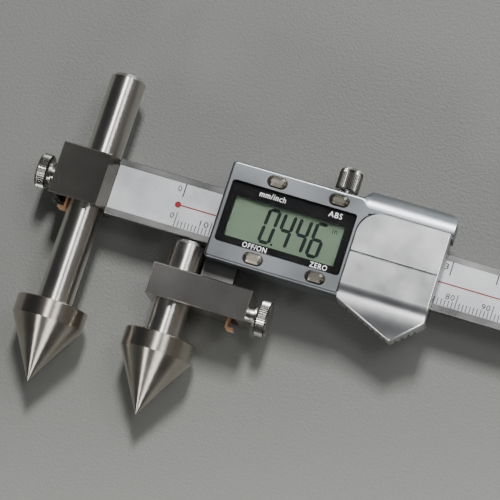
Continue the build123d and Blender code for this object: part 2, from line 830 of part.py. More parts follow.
def contact_slots():
    """Openings in the bay's end wall for the two battery contacts."""
    cuts = []
    for y in (negative_y, positive_y):
        cuts.append(block(bay_left - partition_wall - past, bay_left + past,
                          y - contact_width / 2 - cell_seat_gap,
                          y + contact_width / 2 + cell_seat_gap,
                          board_back_z - past, board_front_z + 2 * contact_thickness))
    return cuts[0] + cuts[1]


def window_shape(extra):
    """The display window's rounded outline, enlarged all round by extra."""
    shape = RectangleRounded(window_length + 2 * extra, window_height + 2 * extra,
                             window_corner + extra)
    return Pos(window_left + window_length / 2, display_mid_y) * shape


def window_plate(extra, back_z, front_z):
    """The display window's plate between two heights, enlarged all round by extra."""
    return extrude(Pos(0, 0, back_z) * window_shape(extra), front_z - back_z)


def display_window():
    """The clear window with its wide printed border."""
    front = housing_front_z - window_sink
    return window_plate(0, front - window_thickness, front)


def lcd_panel():
    """The liquid-crystal panel behind the window."""
    return block(view_left - lcd_border, view_left + view_length + lcd_border,
                 view_mid_y - view_height / 2 - lcd_border,
                 view_mid_y + view_height / 2 + lcd_border, lcd_back_z, lcd_front_z)


def lcd_connectors():
    """The two rubber connector strips between the panel and the board."""
    reach = view_height / 2 + lcd_border - connector_width
    bars = []
    for side in (-1, 1):
        inner = view_mid_y + side * reach
        outer = inner + side * connector_width
        bars.append(block(view_left, view_left + view_length, min(inner, outer),
                          max(inner, outer), board_front_z, lcd_back_z))
    return bars


def circuit_board():
    """The board that reads the scale, notched round the housing's bosses."""
    body = block(board_left, board_right, cavity_bottom_y + cavity_gap,
                 cavity_top_y - cavity_gap, board_back_z, board_front_z)
    for x, y in screw_places[0::2]:
        corner = boss_radius + board_inset
        body -= rod_z(x, y, 0, housing_front_z, corner)
        body -= block(x - 2 * corner, x, y - corner, y + corner, 0, housing_front_z)
    for y in board_screw_ys:
        body -= rod_z(board_mid_x, y, 0, housing_front_z,
                      board_screw_diameter / 2 + screw_clearance)
    return body


def board_screws():
    """The two small screws that hold the board to the frame."""
    screws = []
    for y in board_screw_ys:
        shank = rod_z(board_mid_x, y, frame_front_z - board_screw_depth + screw_clearance,
                      board_front_z, board_screw_diameter / 2 - bore_clearance)
        head = rod_z(board_mid_x, y, board_front_z, board_front_z + board_screw_head_height,
                     board_screw_head / 2)
        head -= block(board_mid_x - board_screw_head, board_mid_x + board_screw_head,
                      y - driver_slot_width / 2, y + driver_slot_width / 2,
                      board_front_z + board_screw_head_height / 2, housing_front_z)
        screws.append(shank + head)
    return screws


def button(x, y):
    """One oblong, steeply bevelled metal button with the flange that keeps it in."""
    flange_front = front_wall_z - running_gap
    flange_back = flange_front - button_flange_thickness
    cap = oblong(x, y, flange_back, housing_front_z + button_rise, button_length, button_width)
    top = cap.faces().sort_by(Axis.Z)[-1]
    cap = chamfer(top.edges(), button_bevel_run, button_bevel_fall, reference=top)
    return cap + oblong(x, y, flange_back, flange_front, button_length + 2 * button_flange,
                        button_width + 2 * button_flange)


def button_domes():
    """The rubber switch domes on the board, one under each button."""
    height = dome_front_z - board_front_z
    domes = []
    for x, y in button_places:
        domes.append(Pos(x, y, board_front_z) * turned([
            (0, 0), (dome_base_radius, 0), (dome_base_radius, height / 3),
            (dome_top_radius, height), (0, height)]))
    return domes


def coin_cell():
    """The flat round cell: a can with a stepped lid."""
    radius = cell_diameter / 2
    step = radius - 3 * cell_rim
    return Pos(cell_x, cell_y, cell_back_z) * turned([
        (0, 0), (step, 0), (step, cell_rim / 2), (radius, cell_rim), (radius, cell_thickness),
        (0, cell_thickness)])


def strip_along(points, y):
    """A bent contact strip: the line of XZ points thickened and given its width."""
    body = None
    for (x0, z0), (x1, z1) in zip(points, points[1:]):
        piece = block(min(x0, x1), max(x0, x1) + contact_thickness, y - contact_width / 2,
                      y + contact_width / 2, min(z0, z1), max(z0, z1) + contact_thickness)
        body = piece if body is None else body + piece
    return body


def negative_contact():
    """The spring strip from the board to the underside of the cell."""
    return strip_along([(contact_foot_x, board_front_z), (contact_turn_x, board_front_z),
                        (contact_turn_x, tray_front_z), (cell_x, tray_front_z)], negative_y)


def positive_contact():
    """The spring strip from the board that stands against the cell's rim."""
    offset = positive_y - cell_y - contact_width / 2
    rim_x = cell_x - math.sqrt(cell_diameter ** 2 / 4 - offset ** 2)
    stand_x = rim_x - contact_thickness
    return strip_along([(contact_foot_x, board_front_z), (stand_x, board_front_z),
                        (stand_x, board_front_z + cell_thickness * contact_stand)],
                       positive_y)


def cover_section(drop):
    """The cover's section across X: flat, rolled over, then hollow out to the rim."""
    top = cover_front_z - drop
    flat = Line((cover_top_y + past, top), (roll_start_y, top))
    over = TangentArc((roll_start_y, top), (roll_end_y, top - roll_drop), tangent=(-1, 0))
    hollow = TangentArc((roll_end_y, top - roll_drop), (thumb_tip_y - past, thumb_edge_z - drop),
                        tangent=over % 1)
    rest = Polyline((thumb_tip_y - past, thumb_edge_z - drop), (thumb_tip_y - past, 0),
                    (cover_top_y + past, 0), (cover_top_y + past, top))
    face = make_face((flat + over + hollow + rest).edges())
    return extrude(Plane.YZ.offset(bay_left - past) * face, cover_right - bay_left + 2 * past)


def cover_plan(inset):
    """The cover's plan, drawn in by inset, with one round corner and the thumb point."""
    left = bay_left + cover_gap + inset
    right = cover_right - inset
    top = cover_top_y - cover_gap - inset
    slope_left = (thumb_left_y - thumb_tip_y) / (thumb_x - bay_left)
    slope_right = (thumb_left_y - thumb_tip_y) / (cover_right - thumb_x)
    tip = thumb_tip_y + inset * math.hypot(1, slope_left)
    face = make_face(Polyline(
        (left, top), (left, tip + slope_left * (thumb_x - left)), (thumb_x, tip),
        (right, tip + slope_right * (right - thumb_x)), (right, top), close=True))
    corner = face.vertices().sort_by_distance((left, top, 0))[0]
    face = fillet(corner, cover_corner - inset)
    point = face.vertices().sort_by_distance((thumb_x, tip, 0))[0]
    face = fillet(point, thumb_point_radius)
    side = face.vertices().sort_by_distance((right, tip + slope_right * (right - thumb_x), 0))[0]
    return fillet(side, thumb_side_radius)


def rounded_rim(body):
    """The cover with its right edge and both thumb edges rolled over."""
    front = [edge for edge in body.edges() if edge.bounding_box().min.Z > thumb_edge_z - thumb_rim]
    rim = [edge for edge in front if edge.center().X > cover_right - thumb_side_radius
           or edge.center().Y < thumb_left_y - thumb_side_radius]
    return fillet(rim, cover_rim)


def battery_cover():
    """The sliding battery cover, whose lower end is a ribbed thumb rest."""
    outer = Pos(0, 0, skirt_back_z) * extrude(cover_plan(0), housing_front_z)
    body = rounded_rim(outer & cover_section(0))
    inner = Pos(0, 0, skirt_back_z - past) * extrude(cover_plan(cover_wall), housing_front_z)
    body -= inner & cover_section(cover_thickness)
    over_wall = display_bottom_y + cover_step - cover_overhang
    space = block(bay_left - past, cover_right + past, over_wall, cover_top_y + past, 0, housing_front_z)
    body -= space & cover_section(cover_thickness)
    body += block(tongue_left + cover_gap, cover_right - tongue_inset,
                  cover_top_y - 2 * cover_gap - cover_tongue, cover_top_y + cover_tongue,
                  cover_back_z, cover_back_z + cover_tongue)
    body += block(bay_left + cover_gap + rail_width, cover_right - rail_width,
                  over_wall - rail_width, over_wall + cover_overhang + rail_reach, rail_z,
                  rail_z + rail_width)
    groove_start = bay_left - past
    groove_length = cover_right - groove_right_margin - groove_start
    groove = Pos(groove_start + groove_length / 2, groove_y) * SlotOverall(groove_length, groove_width)
    body -= widening(groove, cover_front_z - groove_depth, cover_front_z + groove_depth)
    return body - thumb_ribs()


def thumb_ribs():
    """The round-bottomed grooves down both flanks of the thumb rest."""
    cuts = []
    for end_x in (bay_left + cover_gap, cover_right):
        run = Vector(end_x - thumb_x, thumb_left_y - thumb_tip_y)
        count = int((run.length - 2 * rib_pitch) / rib_pitch) + 1
        for index in range(count):
            spot = Vector(thumb_x, thumb_tip_y) + run.normalized() * rib_pitch * (index + 1)
            cuts.append(rod_z(spot.X, spot.Y, 0, thumb_edge_z - thumb_rim, rib_radius))
    joined = cuts[0]
    for cut in cuts[1:]:
        joined += cut
    return joined


# The whole caliper

left_end = fixed_tip_x - screw_shank_length - screw_head_length
point_y = (shoulder_top_y - shoulder_length
           - (cone_length - tip_flat_radius / math.tan(math.radians(cone_angle / 2))))
middle = Pos(-(left_end + beam_right) / 2, -(point_y + long_rod_top_y) / 2, cone_radius - axis_z)

nodes = {
    "beam": beam,
    "scale_strip": scale_strip,
    "fixed_clamp_block": fixed_clamp_block,
    "fixed_clamp_leaf": lambda: leaf(fixed_leaf_x, -1, -fixed_block_height / 2,
                                     fixed_screw_y),
    "fixed_clamp_screw": lambda: clamp_screw(fixed_tip_x, -1, fixed_screw_y),
    "end_stop": end_stop,
    "end_stop_screws": end_stop_screws,
    "long_rod": lambda: rod(fixed_rod_x, long_rod_top_y),
    "long_rod_cone": lambda: cone_point(fixed_rod_x),
    "short_rod": lambda: rod(short_rod_x, -beam_half - short_rod_gap),
    "short_rod_cone": lambda: cone_point(short_rod_x),
    "slider_frame": slider_frame,
    "back_plate": back_plate,
    "slider_clamp_block": slider_clamp_block,
    "slider_clamp_leaf": lambda: leaf(slider_leaf_x, 1, slider_block_bottom_y,
                                      slider_screw_y),
    "slider_clamp_screw": lambda: clamp_screw(slider_tip_x, 1, slider_screw_y),
    "push_pin": push_pin,
    "gib_strip": gib_strip,
    "gib_screws": gib_screws,
    "lock_screw": lock_screw,
    "housing": housing,
    "housing_screws": housing_screws,
    "display_window": display_window,
    "lcd_panel": lcd_panel,
    "lcd_connectors": lcd_connectors,
    "circuit_board": circuit_board,
    "board_screws": board_screws,
    "button_unit": lambda: button(*button_places[0]),
    "button_abs": lambda: button(*button_places[1]),
    "button_power": lambda: button(*button_places[2]),
    "button_zero": lambda: button(*button_places[3]),
    "button_domes": button_domes,
    "coin_cell": coin_cell,
    "negative_contact": negative_contact,
    "positive_contact": positive_contact,
    "battery_cover": battery_cover,
}

os.makedirs("parts", exist_ok=True)
for name, make in nodes.items():
    made = make()
    if isinstance(made, list):
        placed = Compound(children=[middle * piece for piece in made])
    else:
        placed = middle * made
    export_step(placed, f"parts/{name}.step")
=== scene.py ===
import bpy
import bmesh
import math
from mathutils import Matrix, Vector


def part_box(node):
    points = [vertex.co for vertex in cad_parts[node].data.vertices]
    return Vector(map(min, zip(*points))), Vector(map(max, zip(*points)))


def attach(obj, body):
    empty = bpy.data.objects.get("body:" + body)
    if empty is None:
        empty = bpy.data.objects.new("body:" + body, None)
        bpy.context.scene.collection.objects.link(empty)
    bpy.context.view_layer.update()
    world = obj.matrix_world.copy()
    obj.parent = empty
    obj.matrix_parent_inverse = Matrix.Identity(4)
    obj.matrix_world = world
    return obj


# A centre-distance caliper lying on its back on a pale table.
# Lengths are metres, in the frame of the solids: X along the beam, Y towards the
# free end of the long rod, Z up out of the scale and the display.
# Marks, words and digits are laid out in millimetres, which caliper() turns into places.

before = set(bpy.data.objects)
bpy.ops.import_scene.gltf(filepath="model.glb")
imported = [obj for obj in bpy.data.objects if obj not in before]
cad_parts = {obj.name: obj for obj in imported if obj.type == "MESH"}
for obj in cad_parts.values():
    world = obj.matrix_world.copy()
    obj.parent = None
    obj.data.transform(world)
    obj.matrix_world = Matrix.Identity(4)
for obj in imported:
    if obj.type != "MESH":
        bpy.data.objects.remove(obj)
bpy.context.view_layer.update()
MM = 0.001
MICRON = 0.000001


# Places read from the solids

rod_low, rod_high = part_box("long_rod")
beam_low, beam_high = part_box("beam")
strip_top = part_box("scale_strip")[1].z
window_low, window_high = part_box("display_window")
panel_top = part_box("lcd_panel")[1].z

rod_to_zero = 25.4 * MM
print_gap = 0.02 * MM
panel_gap = 0.03 * MM

zero_x = (rod_low.x + rod_high.x) / 2 + rod_to_zero
beam_y = (beam_low.y + beam_high.y) / 2
scale_z = strip_top + print_gap
border_z = window_low.z - panel_gap
segment_z = panel_top + panel_gap


def caliper(x, y):
    """A place on the beam: millimetres right of the zero mark and above the middle line."""
    return zero_x + x * MM, beam_y + y * MM


# Steps that the shader groups and the finishes share

# A colour mix node's sockets, by number because its other kinds have the same names
MIX_FACTOR = 0
MIX_FIRST = 6
MIX_SECOND = 7
MIX_RESULT = 2

# A noise texture seldom leaves this range
NOISE_LOW = 0.3
NOISE_HIGH = 0.7


def new_node(tree, kind, inputs, **settings):
    """A node with its settings. Each input takes a plain value or another node's output."""
    node = tree.nodes.new(kind)
    for name, value in settings.items():
        setattr(node, name, value)
    for name, value in inputs.items():
        if isinstance(value, bpy.types.NodeSocket):
            tree.links.new(value, node.inputs[name])
        else:
            node.inputs[name].default_value = value
    return node


def own_place(tree):
    """Where a point of the surface lies on its piece, in metres."""
    return new_node(tree, "ShaderNodeTexCoord", {}).outputs["Object"]


def calculate(tree, operation, *values):
    """One sum on numbers."""
    node = new_node(tree, "ShaderNodeMath", dict(enumerate(values)), operation=operation)
    return node.outputs[0]


def calculate_vector(tree, operation, *values, output="Vector"):
    """One sum on vectors. The answer is a vector, or a number where output is Value."""
    node = new_node(tree, "ShaderNodeVectorMath", dict(enumerate(values)), operation=operation)
    return node.outputs[output]


def change_range(tree, value, from_low, from_high, to_low=0.0, to_high=1.0, **settings):
    """A value moved from one range to another, and held at the ends."""
    inputs = {"Value": value, "From Min": from_low, "From Max": from_high,
              "To Min": to_low, "To Max": to_high}
    return new_node(tree, "ShaderNodeMapRange", inputs, **settings).outputs[0]


def between(tree, noise, low, high):
    """A number that runs from low to high as a noise goes through its usual range."""
    return change_range(tree, noise, NOISE_LOW, NOISE_HIGH, low, high)


def mix_colours(tree, factor, first, second, blend="MIX"):
    """A colour that goes from first to second with factor. Each is a colour or a socket."""
    inputs = {MIX_FACTOR: factor}
    for socket, colour in ((MIX_FIRST, first), (MIX_SECOND, second)):
        linked = isinstance(colour, bpy.types.NodeSocket)
        inputs[socket] = colour if linked else (*colour, 1.0)
    node = new_node(tree, "ShaderNodeMix", inputs, data_type="RGBA", blend_type=blend)
    return node.outputs[MIX_RESULT]


# Shader groups shared by several finishes

def new_group(name, inputs, outputs):
    """An empty shader group, with what it is given and what it gives back."""
    group = bpy.data.node_groups.new(name, "ShaderNodeTree")
    for label, kind, default in inputs:
        socket = group.interface.new_socket(label, in_out="INPUT", socket_type=kind)
        socket.default_value = default
    for label, kind in outputs:
        group.interface.new_socket(label, in_out="OUTPUT", socket_type=kind)
    entry = group.nodes.new("NodeGroupInput")
    leave = group.nodes.new("NodeGroupOutput")
    return group, entry.outputs, leave.inputs


def tool_marks_group():
    """Fine lines left by grinding or turning, and a slow drift of the surface."""
    group, given, result = new_group(
        "tool marks",
        [("Stretch", "NodeSocketVector", (400.0, 6000.0, 6000.0)),
         ("Patch", "NodeSocketFloat", 90.0)],
        [("Marks", "NodeSocketFloat"), ("Drift", "NodeSocketFloat")])
    place = own_place(group)
    stretched = calculate_vector(group, "MULTIPLY", place, given["Stretch"])
    lines = new_node(group, "ShaderNodeTexNoise",
                     {"Vector": stretched, "Scale": 1.0, "Detail": 4.0, "Roughness": 0.62})
    drift = new_node(group, "ShaderNodeTexNoise",
                     {"Vector": place, "Scale": given["Patch"], "Detail": 3.0})
    group.links.new(lines.outputs[0], result["Marks"])
    group.links.new(drift.outputs[0], result["Drift"])
    return group


def scratches_group():
    """Sparse short scratches, as a mask from 0 to 1."""
    group, given, result = new_group(
        "scratches",
        [("Stretch", "NodeSocketVector", (120.0, 2600.0, 400.0)),
         ("Turn", "NodeSocketVector", (0.0, 0.0, 0.5)),
         ("Amount", "NodeSocketFloat", 0.5)],
        [("Mask", "NodeSocketFloat")])
    scratch_from = 0.66
    scratch_full = 0.74
    turned = new_node(group, "ShaderNodeVectorRotate",
                      {"Vector": own_place(group), "Rotation": given["Turn"]},
                      rotation_type="EULER_XYZ")
    stretched = calculate_vector(group, "MULTIPLY", turned.outputs[0], given["Stretch"])
    lines = new_node(group, "ShaderNodeTexNoise",
                     {"Vector": stretched, "Scale": 1.0, "Detail": 2.0})
    cut = change_range(group, lines.outputs[0], scratch_from, scratch_full)
    group.links.new(calculate(group, "MULTIPLY", cut, given["Amount"]), result["Mask"])
    return group


def knurl_grooves_group():
    """Bright on a knurl's tips and on the bare faces inside it, painted shade down in its
    grooves.
    """
    group, given, result = new_group(
        "knurl grooves",
        [("Centre", "NodeSocketVector", (0.0, 0.0, 0.0)),
         ("Across", "NodeSocketVector", (0.0, 1.0, 1.0)),
         ("Root", "NodeSocketFloat", 0.004),
         ("Tip", "NodeSocketFloat", 0.005)],
        [("Bright", "NodeSocketFloat")])
    # Painted shade: dark from this depth below the groove root, fading out towards the tips;
    # the bare faces further in stay bright.
    shade_under_root = 0.15 * MM
    local = calculate_vector(group, "SUBTRACT", own_place(group), given["Centre"])
    flat = calculate_vector(group, "MULTIPLY", local, given["Across"])
    radius = calculate_vector(group, "LENGTH", flat, output="Value")
    tooth = change_range(group, radius, given["Root"], given["Tip"])
    face_edge = calculate(group, "SUBTRACT", given["Root"], shade_under_root)
    face = calculate(group, "LESS_THAN", radius, face_edge)
    group.links.new(calculate(group, "MAXIMUM", tooth, face), result["Bright"])
    return group


tool_marks = tool_marks_group()
scratches = scratches_group()
knurl_groove_shade = knurl_grooves_group()


# Finishes

# How much of a finish's tone follows its tool marks; the rest follows the slow drift
marks_share = 0.6
# How much brighter a scratch is than the lightest metal beside it
scratch_gain = 1.6


def place_group(tree, group, inputs):
    """What a shared group gives a material, from the material's own values."""
    return new_node(tree, "ShaderNodeGroup", inputs, node_tree=group).outputs


def parts_of(material):
    """A finish's node tree and its Principled shader."""
    return material.node_tree, material.node_tree.nodes["Principled BSDF"]


def start_finish(name):
    """A new material that has only its Principled shader, with its tree and that shader."""
    material = bpy.data.materials.new(name)
    material.use_nodes = True
    return material, *parts_of(material)


def colour_of(shader):
    """The output that gives a finish its colour."""
    return shader.inputs["Base Color"].links[0].from_socket


def tint(material, mask, colour, blend="MIX"):
    """A colour laid over a finish where the mask says so."""
    tree, shader = parts_of(material)
    tinted = mix_colours(tree, mask, colour_of(shader), colour, blend)
    tree.links.new(tinted, shader.inputs["Base Color"])


def metal(name, dark, light, rough, marks, depth, patch=90.0, scratch=0.0,
          turn=(0.0, 0.0, 0.5), anisotropic=0.0, metallic=1.0, gloss=0.5):
    """A worked metal: tool marks, a slow drift of tone, and a few scratches.

    rough is the roughness of the smoothest and the roughest patches, marks how many tool
    marks there are in a metre along X, Y and Z, depth how deep they are in metres, patch
    how many patches of tone there are in a metre, scratch how much the scratches show,
    and turn how they are turned, in radians.
    """
    material, tree, shader = start_finish(name)
    shader.inputs["Metallic"].default_value = metallic
    shader.inputs["Anisotropic"].default_value = anisotropic
    shader.inputs["Specular IOR Level"].default_value = gloss
    worked = place_group(tree, tool_marks, {"Stretch": marks, "Patch": patch})
    patches = between(tree, worked["Drift"], 0.0, 1.0 - marks_share)
    tone = calculate(tree, "MULTIPLY_ADD", worked["Marks"], marks_share, patches)
    colour = mix_colours(tree, tone, dark, light)
    if scratch:
        cut = place_group(tree, scratches, {"Turn": turn, "Amount": scratch})
        bared = [min(1.0, scratch_gain * part) for part in light]
        colour = mix_colours(tree, cut["Mask"], colour, bared)
    bump = new_node(tree, "ShaderNodeBump",
                    {"Strength": 1.0, "Distance": depth, "Height": worked["Marks"]})
    tree.links.new(colour, shader.inputs["Base Color"])
    tree.links.new(between(tree, worked["Drift"], *rough), shader.inputs["Roughness"])
    tree.links.new(bump.outputs["Normal"], shader.inputs["Normal"])
    return material


def plain(name, dark, light, rough, patch=120.0, depth=2.0 * MICRON, gloss=0.5, grain=3000.0):
    """Paint, plastic or rubber with a faint grain and an uneven sheen."""
    return metal(name, dark, light, rough, marks=(grain, grain, grain), depth=depth,
                 patch=patch, metallic=0.0, gloss=gloss)


def turned_metal(name, dark, light, rough, depth):
    """Metal turned about Y, whose fine rings draw the light out along the piece."""
    material = metal(name, dark, light, rough, marks=(500.0, 9000.0, 500.0), depth=depth,
                     anisotropic=0.9)
    tree, shader = parts_of(material)
    quarter_turn = 0.25
    ring = new_node(tree, "ShaderNodeTangent", {}, direction_type="RADIAL", axis="Y")
    shader.inputs["Anisotropic Rotation"].default_value = quarter_turn
    tree.links.new(ring.outputs[0], shader.inputs["Tangent"])
    return material


def knurled_metal(name, node, across, depth):
    """A knurled head: bright tips over grooves darkened by painted shade, measured from the
    screw's own axis.
    """
    material = metal(name, dark=(0.42, 0.41, 0.38), light=(0.66, 0.65, 0.62),
                     rough=(0.24, 0.34), marks=(2500.0, 2500.0, 2500.0), depth=2.0 * MICRON)
    tree, shader = parts_of(material)
    # Painted shade: the colour laid into the knurl's grooves
    painted_groove_shade = (0.14, 0.135, 0.125)
    tip_share = 0.35
    low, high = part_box(node)
    radius = (high.z - low.z) / 2
    grooves = place_group(tree, knurl_groove_shade, {
        "Centre": (low + high) / 2, "Across": across,
        "Root": radius - depth, "Tip": radius - tip_share * depth})
    groove_shaded = mix_colours(tree, grooves["Bright"], painted_groove_shade, colour_of(shader))
    tree.links.new(groove_shaded, shader.inputs["Base Color"])
    return material


def cover_finish():
    """The battery cover: satin silver, with painted shade in the fine groove across its face.
    """
    material = metal("battery cover silver", dark=(0.88, 0.89, 0.90), light=(0.99, 0.99, 1.0),
                     rough=(0.27, 0.35), marks=(300.0, 300.0, 300.0), depth=4.0 * MICRON,
                     patch=110.0)
    tree = material.node_tree
    painted_groove_shade = (0.10, 0.105, 0.11)
    groove_above_middle = 0.25
    groove_half_width = 0.15 * MM
    groove_end_margin = 1.0 * MM
    groove_y = caliper(0.0, groove_above_middle)[1]
    groove_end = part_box("battery_cover")[1].x - groove_end_margin
    place = new_node(tree, "ShaderNodeSeparateXYZ", {0: own_place(tree)}).outputs
    painted_shade_in_groove = calculate(tree, "COMPARE", place["Y"], groove_y, groove_half_width)
    before_end = calculate(tree, "LESS_THAN", place["X"], groove_end)
    # Painted shade: the fine groove across the cover is coloured dark
    tint(material, calculate(tree, "MULTIPLY", painted_shade_in_groove, before_end), painted_groove_shade)
    return material


def table_finish():
    """The pale table: a fine grain, and painted light that makes it lighter towards the side
    of the cones.
    """
    material = plain("pale table", dark=(0.198, 0.202, 0.188), light=(0.228, 0.232, 0.217),
                     rough=(0.46, 0.60), patch=9.0, depth=180.0 * MICRON, grain=1300.0)
    tree = material.node_tree
    # Painted light: the table's colour is raised towards the cones' side, standing in for a
    # brighter pool of light there
    painted_light_side = (0.306, -0.952, 0.0)
    painted_light_from = -0.03
    painted_light_to = 0.09
    painted_light_gain = (1.80, 1.80, 1.80)
    distance = calculate_vector(tree, "DOT_PRODUCT", own_place(tree), painted_light_side,
                                output="Value")
    painted_light_ramp = change_range(tree, distance, painted_light_from, painted_light_to,
                        interpolation_type="SMOOTHSTEP")
    tint(material, painted_light_ramp, painted_light_gain, "MULTIPLY")
    return material


def clear_window():
    """The display's clear window. Light passes it without bending, so the panel is lit."""
    material, tree, shader = start_finish("display window glass")
    shader.inputs["Base Color"].default_value = (1.0, 1.0, 1.0, 1.0)
    shader.inputs["Transmission Weight"].default_value = 1.0
    shader.inputs["IOR"].default_value = 1.46
    clean_rough = 0.0
    smudged_rough = 0.012
    smudges = place_group(tree, tool_marks, {"Stretch": (900.0, 900.0, 900.0), "Patch": 70.0})
    tree.links.new(between(tree, smudges["Drift"], clean_rough, smudged_rough),
                   shader.inputs["Roughness"])
    path = new_node(tree, "ShaderNodeLightPath", {})
    through = new_node(tree, "ShaderNodeBsdfTransparent", {})
    either = new_node(tree, "ShaderNodeMixShader", {
        0: path.outputs["Is Shadow Ray"], 1: shader.outputs[0], 2: through.outputs[0]})
    tree.links.new(either.outputs[0], tree.nodes["Material Output"].inputs["Surface"])
    return material


rod_steel = turned_metal("bright ground rod", dark=(0.58, 0.555, 0.52),
                         light=(0.78, 0.755, 0.72), rough=(0.28, 0.34), depth=0.6 * MICRON)
cone_steel = turned_metal("turned cone", dark=(0.35, 0.315, 0.27), light=(0.66, 0.62, 0.56),
                          rough=(0.27, 0.34), depth=1.6 * MICRON)
block_grinding = {"marks": (220.0, 2400.0, 2400.0), "depth": 2.4 * MICRON, "patch": 30.0,
                  "turn": (0.0, 0.0, 1.2)}
# Painted light and shade: both blocks are the same ground steel, but the fixed block's copy is
# made darker and the slider block's lighter, standing for how each sits in the light
fixed_block_steel_painted_darker = metal("ground fixed block", dark=(0.25, 0.24, 0.22),
                          light=(0.41, 0.39, 0.36), rough=(0.18, 0.23), scratch=0.35,
                          **block_grinding)
slider_block_steel_painted_lighter = metal("ground slider block", dark=(0.38, 0.37, 0.35),
                           light=(0.60, 0.58, 0.55), rough=(0.18, 0.25), scratch=0.5,
                           **block_grinding)
beam_steel = metal("ground beam", dark=(0.30, 0.30, 0.30), light=(0.42, 0.42, 0.41),
                   rough=(0.26, 0.36), marks=(160.0, 6000.0, 6000.0), depth=1.0 * MICRON)
frame_steel = metal("slider frame steel", dark=(0.22, 0.22, 0.21), light=(0.34, 0.33, 0.32),
                    rough=(0.28, 0.40), marks=(200.0, 5000.0, 5000.0), depth=1.2 * MICRON,
                    scratch=0.2)
fixed_knurl = knurled_metal("fixed clamp screw steel", "fixed_clamp_screw",
                            across=(0.0, 1.0, 1.0), depth=0.20 * MM)
slider_knurl = knurled_metal("slider clamp screw steel", "slider_clamp_screw",
                             across=(0.0, 1.0, 1.0), depth=0.20 * MM)
lock_knurl = knurled_metal("lock screw steel", "lock_screw",
                           across=(1.0, 0.0, 1.0), depth=0.15 * MM)
fastener_steel = metal("small screw steel", dark=(0.40, 0.40, 0.40), light=(0.56, 0.56, 0.55),
                       rough=(0.25, 0.38), marks=(2500.0, 2500.0, 2500.0),
                       depth=2.0 * MICRON)
scale_silver = metal("matt silver scale", dark=(0.50, 0.51, 0.525), light=(0.79, 0.80, 0.815),
                     rough=(0.38, 0.50), marks=(1400.0, 2600.0, 2600.0), depth=2.0 * MICRON,
                     metallic=0.6)
leaf_bronze = metal("bronze leaf", dark=(0.80, 0.44, 0.24), light=(0.98, 0.62, 0.38),
                    rough=(0.34, 0.50), marks=(2600.0, 400.0, 2600.0), depth=1.5 * MICRON,
                    metallic=0.35)
shell_silver = metal("satin silver shell", dark=(0.270, 0.286, 0.302),
                     light=(0.362, 0.378, 0.394), rough=(0.30, 0.40),
                     marks=(700.0, 5000.0, 5000.0), depth=1.0 * MICRON, patch=45.0)
cover_silver = cover_finish()
button_metal = metal("button metal", dark=(0.60, 0.54, 0.43), light=(0.80, 0.74, 0.63),
                     rough=(0.20, 0.30), marks=(400.0, 4000.0, 4000.0), depth=1.0 * MICRON)
window_glass = clear_window()
panel_film = plain("display film", dark=(0.050, 0.079, 0.049), light=(0.082, 0.118, 0.076),
                   rough=(0.45, 0.60), patch=40.0, gloss=0.2)
border_black = plain("display border print", dark=(0.0010, 0.0010, 0.0012),
                     light=(0.0024, 0.0024, 0.0028), rough=(0.30, 0.40), gloss=0.1)
segment_dark = plain("display segments", dark=(0.0010, 0.0030, 0.0026),
                     light=(0.0025, 0.0060, 0.0050), rough=(0.45, 0.60), gloss=0.1)
label_white = plain("white label print", dark=(0.70, 0.70, 0.70), light=(0.85, 0.85, 0.85),
                    rough=(0.45, 0.60))
scale_black = plain("black scale print", dark=(0.003, 0.003, 0.003),
                    light=(0.012, 0.012, 0.012), rough=(0.50, 0.70))
scale_red = plain("red scale print", dark=(0.22, 0.004, 0.010), light=(0.34, 0.008, 0.016),
                  rough=(0.45, 0.60))
rubber_black = plain("black rubber", dark=(0.02, 0.02, 0.02), light=(0.04, 0.04, 0.04),
                     rough=(0.60, 0.80), depth=10.0 * MICRON)
board_green = plain("green board", dark=(0.01, 0.10, 0.04), light=(0.02, 0.16, 0.07),
                    rough=(0.30, 0.45))
table_grey = table_finish()

finish_of = {
    "long_rod": rod_steel, "short_rod": rod_steel,
    "long_rod_cone": cone_steel, "short_rod_cone": cone_steel,
    "fixed_clamp_block": fixed_block_steel_painted_darker, "slider_clamp_block": slider_block_steel_painted_lighter,
    "beam": beam_steel, "end_stop": beam_steel,
    "slider_frame": frame_steel, "back_plate": frame_steel, "push_pin": frame_steel,
    "fixed_clamp_screw": fixed_knurl, "slider_clamp_screw": slider_knurl,
    "lock_screw": lock_knurl,
    "end_stop_screws": fastener_steel, "housing_screws": fastener_steel,
    "board_screws": fastener_steel, "gib_screws": fastener_steel,
    "scale_strip": scale_silver,
    "fixed_clamp_leaf": leaf_bronze, "slider_clamp_leaf": leaf_bronze,
    "gib_strip": leaf_bronze, "negative_contact": leaf_bronze, "positive_contact": leaf_bronze,
    "housing": shell_silver, "battery_cover": cover_silver,
    "button_unit": button_metal, "button_abs": button_metal,
    "button_power": button_metal, "button_zero": button_metal,
    "display_window": window_glass, "lcd_panel": panel_film,
    "lcd_connectors": rubber_black, "button_domes": rubber_black,
    "circuit_board": board_green, "coin_cell": rod_steel,
}
for node, finish in finish_of.items():
    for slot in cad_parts[node].material_slots:
        slot.link = "OBJECT"
        slot.material = finish


# Pieces added to the solids, all of them print

print_thickness = 0.01 * MM
dot_thickness = 1.5 * print_thickness
letter_spacing = 1.12
letter_curve_steps = 3
same_point = 0.1 * MICRON


def add_piece(name, mesh, body, finish):
    """A mesh made into a piece that rides on a body of the caliper."""
    mesh.name = name
    mesh.materials.append(finish)
    piece = bpy.data.objects.new(name, mesh)
    bpy.context.scene.collection.objects.link(piece)
    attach(piece, body)


def mesh_from(maker):
    """The mesh that has been built up, with its maker cleared away."""
    mesh = bpy.data.meshes.new("mesh")
    maker.to_mesh(mesh)
    maker.free()
    return mesh


def ring_of_points(maker, outline, z):
    """An outline's points set down at a height."""
    return [maker.verts.new((x, y, z)) for x, y in outline]


